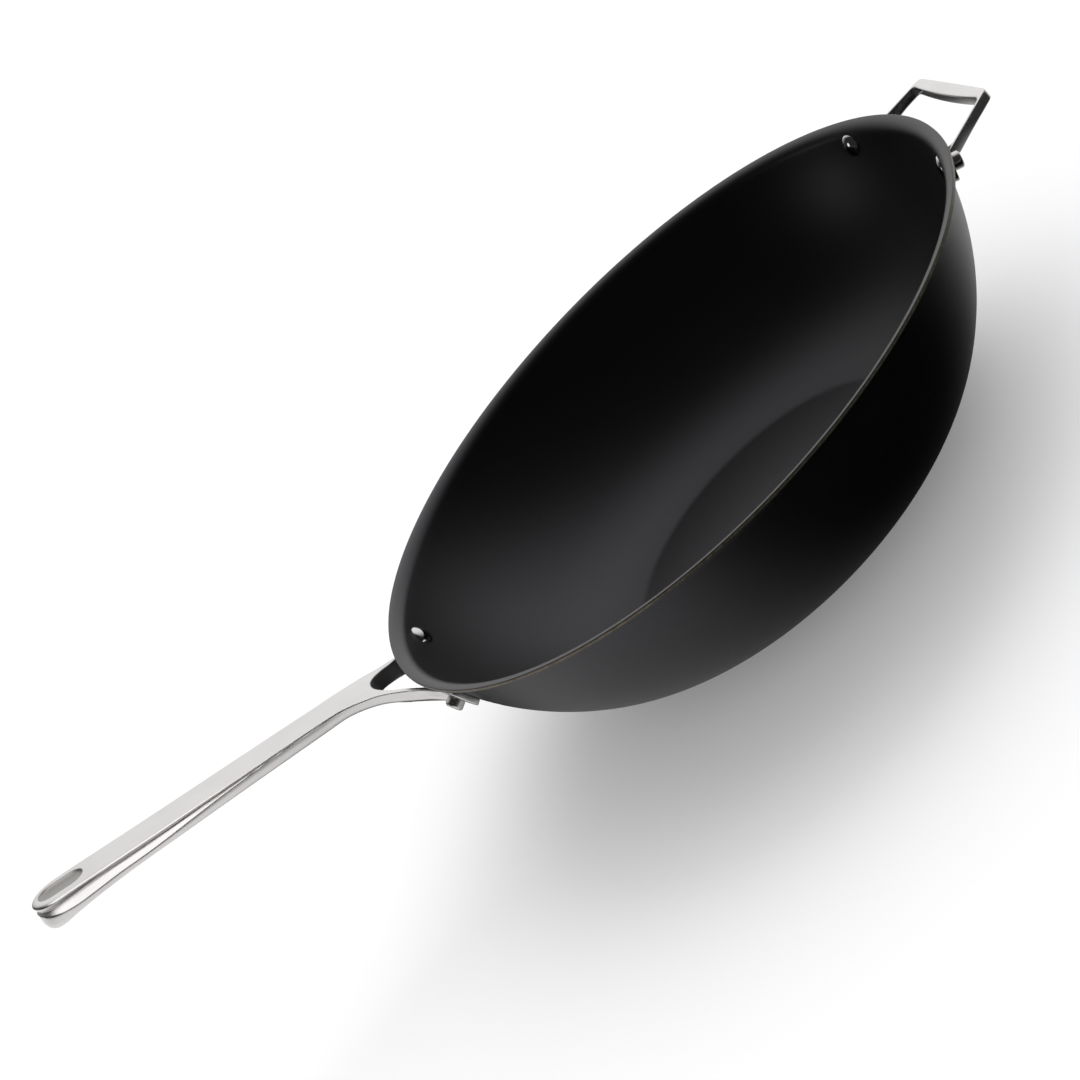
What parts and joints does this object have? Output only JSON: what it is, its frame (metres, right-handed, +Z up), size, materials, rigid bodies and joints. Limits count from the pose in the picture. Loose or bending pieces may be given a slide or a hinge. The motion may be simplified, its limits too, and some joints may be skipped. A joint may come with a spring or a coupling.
{
  "type": "flat-bottomed wok",
  "caption": "Flat-bottomed wok with a flared lip, a riveted forked stick handle and a riveted loop helper handle.",
  "frame": {"origin": "centre of the underside of the bowl's flat base", "axes": "+Z up out of the bowl, +X towards the helper handle, so the stick handle points to -X"},
  "size_m": [0.5829, 0.3554, 0.1496],
  "materials": {
    "bowl_steel": "dark satin carbon steel, bare bronze-brown cut edge at the lip",
    "handle_steel": "fine satin cast stainless steel",
    "rivet_steel": "polished stainless steel"
  },
  "bodies": {
    "root": {"bowl": "bowl_steel", "main_handle": "handle_steel", "helper_handle": "handle_steel", "main_handle_rivets": "rivet_steel", "helper_handle_rivets": "rivet_steel"}
  },
  "joints": []
}
